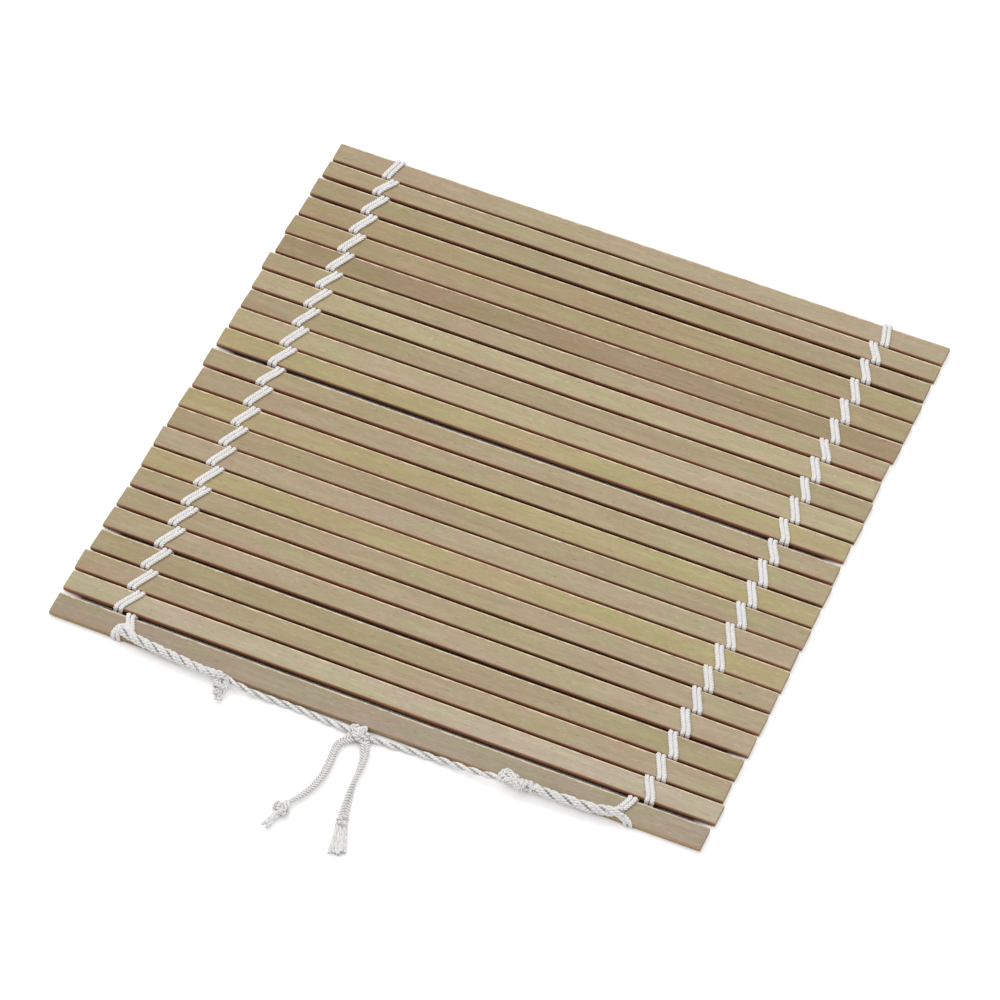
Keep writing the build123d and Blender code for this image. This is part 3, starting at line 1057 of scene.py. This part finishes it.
@dataclass
class Lacing:
    """The stitches that hold the slats, two columns of paired threads."""

    sizes: MatSizes
    thread: Thread = field(default_factory=lambda: Thread(1.64, 3.3, helix=0.23, ply=0.31, plies=3))
    pair_pitch: float = 1.84
    left_column: float = 95.95
    right_column: float = 96.9
    slant: float = 3.8
    drift: float = 1.3
    drift_gaps: int = 8
    tie_pull: float = 1.7
    kink_inset: float = 0.7
    over_press: float = 0.6
    leg_press: float = 0.39
    under_press: float = 0.33
    crown: float = 0.07
    bow: float = 0.12
    lap: float = 0.1
    shoulder: float = 0.45
    tie_height: float = 0.45
    front_stand: float = 0.45
    tie_press: float = 0.88
    seed: int = 1000
    joins: tuple[float, float] = (-90.75, 89.2)
    wraps: tuple[float, float] = (-94.6, 94.4)
    join_steps: tuple[tuple[Point, ...], ...] = (
        ((-0.4, 4.3, 0.0), (0.0, 2.2, 0.5), (1.6, 0.9, 1.3)),
        ((1.2, 4.0, 0.0), (-0.6, 2.0, 0.5), (-3.2, 0.6, 1.4)),
    )
    wrap_steps: tuple[tuple[Point, ...], ...] = (
        ((-0.3, -0.25, 0.15), (-0.5, 1.8, 0.3), (-0.1, 4.2, 0.2), (1.9, 4.9, 0.5),
         (3.4, 3.6, 1.5), (4.4, 1.8, 1.7), (6.4, 0.6, 1.5)),
        ((-0.4, -0.35, 0.25), (-2.2, 0.4, 0.9), (-4.6, 0.6, 1.5), (-7.6, 0.2, 1.5)),
    )

    def column_x(self, side: int, gap: int, outer: bool) -> float:
        """X of a thread pair in a gap, gap 0 being the near edge.

        Args:
            side: -1 for the left column and 1 for the right.
            gap: The gap's number.
            outer: Whether it is the pair nearer the slats' ends.

        Returns:
            The pair's place along the slats.
        """
        column = self.left_column if side < 0 else self.right_column
        slant = self.slant / 2 if outer else -self.slant / 2
        if gap == 1 and not outer:
            slant -= self.tie_pull
        return side * (column + slant) - self.drift * max(0.0, 1 - gap / self.drift_gaps)

    def stitch_points(self, index: int, x_near: float, x_far: float, over: bool) -> list[Point]:
        """Route of one thread across one slat, from its far gap to its near gap.

        Args:
            index: The slat.
            x_near: Where it stands in the near gap.
            x_far: Where it stands in the far gap.
            over: Whether it passes over the slat.

        Returns:
            The route, in millimetres.
        """
        sizes = self.sizes
        reach = sizes.thread_clearance + sizes.thread_thickness / 2
        near, far = sizes.near(index), sizes.far(index)
        near_leg, far_leg = sizes.leg(index), sizes.leg(index + 1)
        way = 1 if over else -1
        run = sizes.top + reach + self.crown if over else sizes.bottom - reach
        bow = self.bow if over else 0.0
        end = (sizes.top + sizes.bottom) / 2 + way * self.lap
        low, bend, start = run - way * self.shoulder, run + way * 0.05, run + bow * 0.4
        halves = []
        for x, edge, leg in ((x_far, far, far_leg), (x_near, near, -near_leg)):
            inner = edge - math.copysign(self.kink_inset, leg)
            outer = edge + leg
            halves.append([(x, outer, end), (x, outer, low), (x, edge + leg * 0.8, bend), (x, inner, start)])
        middle = ((x_near + x_far) / 2, (near + far) / 2, run + bow)
        return [*halves[0], middle, *reversed(halves[1])]

    def press_along(self, points: Array) -> Array:
        """A thread's height share: flat under a slat, thin in a gap and fuller on top."""
        low, high = self.sizes.bottom * MM, self.sizes.top * MM
        lower = np.clip((points[:, 2] - low) / (0.4 * MM), 0.0, 1.0)
        upper = np.clip((points[:, 2] - high) / (0.3 * MM), 0.0, 1.0)
        rise = (self.leg_press - self.under_press) * lower
        return self.under_press + rise + (self.over_press - self.leg_press) * upper

    def pair(self, yarn: YarnMesh, route: list[Point], dice: random.Random) -> None:
        """Lays two threads side by side, each the mirror of the other.

        Args:
            yarn: The mesh that takes them.
            route: The pair's middle route.
            dice: Where the small differences between stitches come from.
        """
        turn = self.thread.turn * dice.uniform(0.94, 1.06)
        phase = dice.uniform(0, 6.28)
        for side in SIDES:
            points = nurbs_points(shifted((side * self.pair_pitch / 2, 0.0, 0.0), route))
            start = phase if side > 0 else math.pi - phase
            thread = replace(self.thread, turn=turn, hand=-side, phase=start)
            sides = steady_sides(points, np.array([1.0, 0.0, 0.0]))
            thread.along(yarn, points, sides, self.press_along(points))

    def plain(self, yarn: YarnMesh, index: int, side: int, dice: random.Random) -> None:
        """The over and under pairs of one slat in one column."""
        x_in, x_out = self.column_x(side, index + 1, False), self.column_x(side, index, True)
        self.pair(yarn, self.stitch_points(index, x_out, x_in, True), dice)
        x_in, x_out = self.column_x(side, index, False), self.column_x(side, index + 1, True)
        self.pair(yarn, self.stitch_points(index, x_in, x_out, False), dice)

    def folded(self, yarn: YarnMesh, side: int, dice: random.Random) -> None:
        """The far slat's pairs, which fold round the mat's far edge."""
        last = self.sizes.count - 1
        x_over, x_under = self.column_x(side, last, True), self.column_x(side, last, False)
        x_fold = (x_over + x_under) / 2
        over = self.stitch_points(last, x_over, x_fold, True)
        under = self.stitch_points(last, x_under, x_fold, False)
        self.pair(yarn, over[:0:-1] + under[1:], dice)

    def tied(self, yarn: YarnMesh, side: int, dice: random.Random) -> None:
        """The near slat's pairs, which run into the tie cord."""
        sizes = self.sizes
        place = SIDES.index(side)
        join, wrap = self.joins[place], self.wraps[place]
        edge, high = sizes.near(0), sizes.top + self.tie_height
        over = self.stitch_points(0, join, self.column_x(side, 1, False), True)[:4]
        self.pair(yarn, over + shifted((join, edge, high), self.join_steps[place]), dice)
        under = self.stitch_points(0, wrap, self.column_x(side, 1, True), False)[:6]
        low, front = under[-1][2], edge - self.front_stand
        under += [(wrap, front + 0.1, low), (wrap, front, low + 0.5), (wrap, front, sizes.top - 0.4)]
        turned = len(under) + 1
        under += shifted((wrap, edge, high), self.wrap_steps[place])
        for half in SIDES:
            spread = half * self.pair_pitch / 2
            close = shifted((spread, 0.0, 0.0), under[:turned])
            points = nurbs_points(close + shifted((spread * 0.75, spread * 0.4, 0.0), under[turned:]))
            rise = np.clip((points[:, 2] / MM - 1.2) / 1.4, 0.0, 1.0)
            rounder = self.under_press + (self.tie_press - self.under_press) * rise
            press = np.maximum(self.press_along(points), rounder)
            thread = replace(self.thread, hand=-half, phase=dice.uniform(0, 6.28))
            thread.along(yarn, points, carried_sides(points, (1.0, 0.0, 0.0)), press)

    def build(self) -> None:
        """Makes each slat's stitches as one piece, from the tied edge to the far edge."""
        faces = 0
        for index in range(self.sizes.count):
            yarn = YarnMesh()
            for side in SIDES:
                dice = random.Random(self.seed + 10 * index + side)
                if index == 0:
                    self.tied(yarn, side, dice)
                elif index == self.sizes.count - 1:
                    self.folded(yarn, side, dice)
                else:
                    self.plain(yarn, index, side, dice)
            piece = yarn.finish(f"stitches_{index + 1:02d}")
            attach(piece, self.sizes.body(index))
            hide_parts(f"lacing_{index + 1:02d}")
            faces += len(piece.data.polygons)
        LOG.info("stitches: %d pieces, %d faces in all", self.sizes.count, faces)


@dataclass
class CordStretch:
    """One stretch of the tie cord, from a knot to the next.

    rest is half of a thread's width over its plies, and apart is half of the way between the two
    threads of a bundle, both as shares of the thread's diameter.
    """

    rest: ClassVar[float] = 0.53
    apart: ClassVar[float] = 0.42
    node: str
    name: str
    route: list[Point]
    diameter: float
    lay: Lay
    turn: float
    far_end: str
    thread: float
    ply_turn: float = 2.8
    end_turn: float = 0.0
    helix: float = 0.17
    press: float = 1.0
    phase: float = 0.0
    narrow_end: float = 1.0
    fullness: float = 1.0
    lie: str = "loose"

    def turned(self, along: Array) -> Array:
        """How far the strands have turned round the cord at each place along it."""
        share = along / along[-1]
        late = self.end_turn or self.turn
        rate = (1.0 - share) / self.turn + share / late
        steps = np.diff(along, prepend=0.0) / MM
        return self.phase - 2 * math.pi * np.cumsum(rate * steps)

    def strands(self, points: Array) -> list[Array]:
        """The middle line of each thread of the cord.

        Args:
            points: The cord's own middle line.

        Returns:
            Each thread's line.
        """
        side = level_sides(points)
        up = np.cross(side, unit(np.gradient(points, axis=0)))
        along = lengths(points)
        angle = self.turned(along)
        close = 1.0 - (1.0 - self.narrow_end) * np.clip((along / along[-1] - 0.6) / 0.4, 0.0, 1.0)
        radius = (self.diameter - self.thread) / 2 * MM * close * self.fullness
        made = []
        for bundle in range(2):
            bearing = angle + math.pi * bundle
            out = np.cos(bearing)[:, None] * side + (self.press * np.sin(bearing))[:, None] * up
            if self.lay is not Lay.DOUBLED:
                made.append(points + radius[:, None] * out)
                continue
            round_it = -np.sin(bearing)[:, None] * side + (self.press * np.cos(bearing))[:, None] * up
            for strand in SIDES:
                beside = self.thread * MM * self.apart * strand * round_it
                made.append(points + (radius * 0.95)[:, None] * out + beside)
        if self.lay is Lay.DOUBLED:
            made.append(points.copy())
        return made

    def build(self) -> None:
        points = nurbs_points(self.route)
        yarn = YarnMesh()
        for number, line in enumerate(self.strands(points)):
            line[:, 2] = np.maximum(line[:, 2], self.thread * MM * self.rest)
            mirrored = self.lay is Lay.BESIDE and number % 2
            phase = math.pi - self.phase if mirrored else self.phase + 1.7 * number
            hand = -1 if mirrored else 1
            thread = Thread(self.thread, self.ply_turn, hand, phase, self.helix, self.rest - self.helix)
            within = []
            if self.lay is not Lay.BESIDE:
                within = [(points, self.diameter / 2 * self.fullness * MM)]
            thread.along(yarn, line, press=max(self.press, 0.85), within=within)
        piece = yarn.finish(self.name)
        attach(piece, "tied_slat")
        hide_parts(self.node)


@dataclass
class KnotAxes:
    """A knot's own directions: along its line, sideways and up."""

    line: tuple[Point, Point]

    def __post_init__(self) -> None:
        """Works out the directions from the line's two ends."""
        start, stop = (np.array(p, float) for p in self.line)
        self.length = float(np.linalg.norm(stop - start))
        self.start = start
        self.along = (stop - start) / self.length
        side = np.cross(self.along, np.array([0.0, 0.0, 1.0]))
        self.side = side / np.linalg.norm(side)
        self.up = np.cross(self.side, self.along)

    def place(self, parts: Sequence[Array], floor: float) -> Array:
        """Puts points into the scene.

        Args:
            parts: Distances along, sideways and up from the knot's start, in millimetres.
            floor: The lowest that a point may lie, in millimetres.

        Returns:
            The points, in metres.
        """
        points = self.start + np.stack(parts, axis=1) @ np.array([self.along, self.side, self.up])
        points[:, 2] = np.maximum(points[:, 2], floor)
        return points * MM


def knot_thread(diameter: float, phase: float, helix: float = 0.2, ply: float = 0.34) -> Thread:
    """A thread of two plies, as the knots are tied of."""
    return Thread(diameter, KNOT_TURN, 1, phase, helix, ply)


@dataclass
class Lump:
    """An overhand knot pulled tight: a doubled thread in three fat turns."""

    at: float
    reach: float
    thread: float = 1.1
    narrow: float = 1.0
    tall: float = 0.95
    turned: float = 0.0

    def lay(self, yarn: YarnMesh, axes: KnotAxes) -> None:
        """Lays the knot's two threads side by side."""
        t = np.linspace(0.0, 2 * math.pi, 170)
        u = (np.sin(t) + 2 * np.sin(2 * t)) * self.reach
        v = (np.cos(t) - 2 * np.cos(2 * t)) * self.reach
        c, s = math.cos(math.radians(self.turned)), math.sin(math.radians(self.turned))
        along, across = self.at + (u * c - v * s) * self.narrow, u * s + v * c
        middle = axes.place((along, across, -np.sin(3 * t) * self.tall), self.thread * 0.6)
        sides = level_sides(middle)
        for place in SIDES:
            line = middle + place * 0.44 * self.thread * MM * sides
            knot_thread(self.thread, 1.3 * place).along(yarn, line)


@dataclass
class Winds:
    """Turns of thread round the knot's line."""

    at: float
    radius: float
    tilt: float
    turns: float
    thread: float = 1.1
    strands: int = 2
    start: float = 0.9
    press: float = 0.92

    def lay(self, yarn: YarnMesh, axes: KnotAxes) -> None:
        """Winds the threads side by side, their ends tucked in."""
        t = np.linspace(0.0, 1.0, max(30, round(34 * self.turns)))
        angle = self.start + 2 * math.pi * self.turns * t
        tuck = np.clip(1 - t * self.turns * 5, 0, 1) + np.clip(1 - (1 - t) * self.turns * 5, 0, 1)
        ring = self.radius * (1.0 - 0.32 * tuck)
        pitch = self.thread * 0.94
        for strand in range(self.strands):
            shift = (strand - (self.strands - 1) / 2) * pitch
            run = self.strands * pitch * self.turns * (t - 0.5)
            along = self.at + shift + self.tilt * np.cos(angle) + run
            line = axes.place((along, ring * np.cos(angle), ring * np.sin(angle)), self.thread * KNOT_REST)
            sides = steady_sides(line, axes.along)
            knot_thread(self.thread, 1.9 * strand).along(yarn, line, sides, self.press)


@dataclass
class Core:
    """Threads that pass through a knot along its line."""

    start: float
    stop: float
    spread: float
    thread: float = 1.3
    count: int = 3
    twist: float = 2.4

    def lay(self, yarn: YarnMesh, axes: KnotAxes) -> None:
        """Lays the threads, turning slowly round each other."""
        t = np.linspace(0.0, 1.0, max(24, round((self.stop - self.start) / 0.3)))
        along = self.start + (self.stop - self.start) * t
        for number in range(self.count):
            bearing = number * 2 * math.pi / self.count - self.twist * t
            across, above = self.spread * np.cos(bearing), self.spread * np.sin(bearing)
            line = axes.place((along, across, above), self.thread * KNOT_REST)
            knot_thread(self.thread, number, 0.19, 0.35).along(yarn, line, press=0.95)


@dataclass
class Strand:
    """Threads laid side by side along a free route of distances along, sideways and up."""

    route: list[Point]
    thread: float = 1.1
    strands: int = 2

    def lay(self, yarn: YarnMesh, axes: KnotAxes) -> None:
        """Lays the threads."""
        middle = nurbs_points(self.route)
        sides = level_sides(middle)
        for strand in range(self.strands):
            shift = (strand - (self.strands - 1) / 2) * self.thread * 0.9 * MM
            line = axes.place(((middle + shift * sides) / MM).T, self.thread * KNOT_REST)
            knot_thread(self.thread, 2.2 * strand).along(yarn, line)


@dataclass
class LooseEnds:
    """Cut ends whose plies have come loose and fan out."""

    start: float
    reach: float
    count: int
    width: float
    height: float
    first_width: float
    ply: float
    scatter: float = 0.5
    seed: int = 5

    def lay(self, yarn: YarnMesh, axes: KnotAxes) -> None:
        """Fans out the plies."""
        dice = random.Random(self.seed)
        for number in range(self.count):
            share = (number + 0.5) / self.count - 0.5
            layer = (number % 2 - 0.5) * self.height
            t = np.linspace(0.0, 1.0, 40)
            width = self.first_width + (self.width - self.first_width) * t**1.2
            wave = self.scatter * 0.25 * np.sin(t * dice.uniform(3, 6) + dice.uniform(0, 6)) * t
            along = self.start + self.reach * (1.0 - dice.uniform(0.0, 0.16)) * t
            size = self.ply * dice.uniform(0.88, 1.14)
            across, above = width * share + wave, layer * (1.0 - 0.5 * t)
            line = axes.place((along, across, above), size * 0.5)
            turn, hand = dice.uniform(5.0, 8.0), 1 if number % 2 else -1
            thread = Thread(size, turn, hand, dice.uniform(0, 6), helix=0.16, ply=0.36)
            thread.along(yarn, line, press=0.85)


@dataclass
class Knot:
    """A knot of the tie, made of the turns and threads it is tied from."""

    node: str
    name: str
    line: tuple[Point, Point]
    parts: list[Lump | Winds | Core | Strand | LooseEnds]

    def build(self) -> None:
        """Makes the knot."""
        yarn = YarnMesh()
        axes = KnotAxes(self.line)
        for part in self.parts:
            part.lay(yarn, axes)
        piece = yarn.finish(self.name)
        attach(piece, "tied_slat")
        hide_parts(self.node)
        LOG.info("%s: %d faces", self.name, len(piece.data.polygons))


@dataclass
class TieCord:
    """The cotton tie along the near edge, with its knots and loose tails."""

    def stretches(self) -> list[CordStretch]:
        """Every stretch of the cord, by its place."""
        return [
            CordStretch(
                "braid_left", "tie_braid_left",
                [(-93.2, -120.9, 4.65), (-87.2, -122.3, 4.5), (-79.6, -122.9, 4.4), (-71.8, -123.5, 4.1),
                 (-64.2, -124.0, 3.6), (-58.6, -124.0, 3.5), (-54.0, -123.7, 3.8)],
                3.6, Lay.DOUBLED, 13.0, "knot", 1.4, end_turn=9.0, phase=0.6, narrow_end=0.7,
                fullness=0.86, lie="taut"),
            CordStretch(
                "twist_left", "tie_twist_left",
                [(-52.6, -123.9, 3.4), (-47.6, -124.6, 2.7), (-41.0, -124.7, 1.7), (-33.6, -124.2, 1.3),
                 (-26.0, -124.0, 1.25), (-18.6, -124.5, 1.25), (-11.6, -124.9, 1.3), (-4.9, -125.3, 1.9)],
                2.4, Lay.TWISTED, 10.8, "knot", 1.35, helix=0.13, lie="taut"),
            CordStretch(
                "twist_right", "tie_twist_right",
                [(1.7, -125.6, 1.9), (7.6, -125.3, 1.35), (14.4, -124.5, 1.25), (21.6, -124.1, 1.4),
                 (29.0, -124.1, 1.9), (36.6, -124.4, 2.6), (43.2, -124.6, 3.3), (49.2, -124.1, 4.2)],
                2.4, Lay.TWISTED, 11.5, "knot", 1.35, helix=0.13, phase=1.2, lie="taut"),
            CordStretch(
                "braid_right", "tie_braid_right",
                [(60.8, -123.6, 4.35), (66.8, -123.9, 4.2), (73.4, -123.5, 4.4), (79.8, -123.4, 4.45),
                 (85.8, -122.5, 4.55), (91.8, -120.9, 4.65)],
                3.6, Lay.DOUBLED, 13.0, "object", 1.42, phase=2.2, fullness=0.93, lie="taut"),
            CordStretch(
                "tail_left", "tie_tail_left",
                [(-3.3, -128.0, 1.9), (-7.3, -130.6, 1.72), (-6.9, -136.6, 1.68), (-6.2, -143.2, 1.68),
                 (-6.7, -149.6, 1.68), (-8.5, -155.2, 1.68), (-11.2, -160.0, 1.75), (-12.9, -163.4, 2.1)],
                3.3, Lay.BESIDE, 300.0, "knot", 1.8, ply_turn=2.2, helix=0.22, press=0.62, narrow_end=0.5),
            CordStretch(
                "tail_right", "tie_tail_right",
                [(1.0, -127.9, 1.95), (3.1, -132.2, 1.85), (4.0, -138.2, 1.83), (4.3, -144.8, 1.83),
                 (5.4, -151.2, 1.83), (6.5, -156.6, 1.83), (7.4, -161.0, 1.85)],
                3.6, Lay.BESIDE, 68.0, "bare", 1.85, ply_turn=2.3, helix=0.22, press=0.62, phase=0.1),
        ]

    def knots(self) -> list[Knot]:
        """Every knot of the cord, by its place."""
        return [
            Knot(
                "centre_knot", "tie_centre_knot", ((-4.4, -125.7, 2.6), (1.7, -126.1, 2.6)),
                [Lump(1.9, 0.8, 1.5, narrow=0.92, tall=1.4, turned=20.0), Core(-0.2, 6.2, 0.8, 1.5, 3),
                 Strand([(1.0, -0.5, -0.8), (1.6, 1.4, -0.9), (2.4, 2.6, -0.8)], 1.2),
                 Strand([(4.4, -0.6, -0.8), (4.9, 1.4, -0.9), (5.0, 2.8, -0.8)], 1.2)]),
            Knot(
                "right_knot", "tie_right_knot", ((48.4, -124.1, 4.4), (61.6, -123.8, 4.6)),
                [Core(0.0, 13.2, 1.0, 1.45, 3, 3.4),
                 Strand([(0.2, 0.9, 0.2), (0.6, -2.0, 0.6), (2.4, -2.4, 1.4), (5.2, -0.3, 1.7),
                         (8.8, 1.9, 0.4)], 1.3),
                 Strand([(1.6, 1.7, 0.6), (3.4, 0.9, 1.6), (5.6, 1.9, 0.8), (8.6, 2.2, -0.2)], 1.3, 1),
                 Winds(6.2, 2.15, 0.3, 1.15, 1.3), Winds(8.7, 1.9, -0.7, 1.1, 1.2, start=2.2),
                 Winds(11.3, 1.65, 0.8, 1.1, 1.2, 1, start=3.4)]),
            Knot(
                "stub_knot", "tie_stub_knot", ((-54.2, -124.4, 4.2), (-51.3, -133.0, 1.9)),
                [Core(0.0, 7.6, 0.65, 1.2, 3), Winds(1.4, 1.95, 0.4, 1.05, 1.05, 2),
                 Winds(3.3, 1.95, -0.2, 1.05, 0.95, 2, start=2.4),
                 Winds(5.2, 1.75, 0.3, 1.05, 0.95, 2, start=1.4),
                 Strand([(0.4, -1.6, 0.9), (2.2, -2.3, 0.7), (4.4, -2.2, 0.5), (6.2, -1.2, 0.3)], 1.0),
                 LooseEnds(5.6, 3.4, 3, 2.4, 0.7, 1.8, 1.2, scatter=0.2, seed=3)]),
            Knot(
                "tail_left_knot", "tie_tail_left_knot", ((-12.2, -162.3, 2.5), (-15.3, -173.6, 1.7)),
                [Lump(2.6, 0.68, 1.4, narrow=0.92, tall=1.0, turned=150.0), Core(-0.6, 1.6, 0.6, 1.3, 2),
                 LooseEnds(2.0, 9.6, 3, 2.7, 0.7, 1.7, 1.35, scatter=0.5, seed=8)]),
            Knot(
                "tail_right_tassel", "tie_tail_right_tassel", ((7.2, -159.9, 1.95), (11.3, -174.2, 1.1)),
                [Winds(0.5, 1.85, 0.1, 1.1, 0.8, 1), Winds(2.7, 1.85, -0.1, 1.1, 0.95, 1, start=2.8),
                 Core(-0.8, 3.4, 0.8, 1.6, 3),
                 LooseEnds(2.6, 12.0, 6, 6.4, 0.6, 3.3, 1.5, scatter=0.5, seed=12)]),
        ]

    def build(self) -> None:
        """Makes the whole tie."""
        for part in (*self.stretches(), *self.knots()):
            part.build()


def main() -> None:
    """Builds the mat, its light and its camera."""
    logging.basicConfig(level=logging.INFO, format="%(message)s")
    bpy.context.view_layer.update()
    PhotographCamera().place()
    TieCord().build()
    Lacing(SIZES).build()
    Slats(SIZES).build()
    SoftStudio().build()


if __name__ == "__main__":
    main()
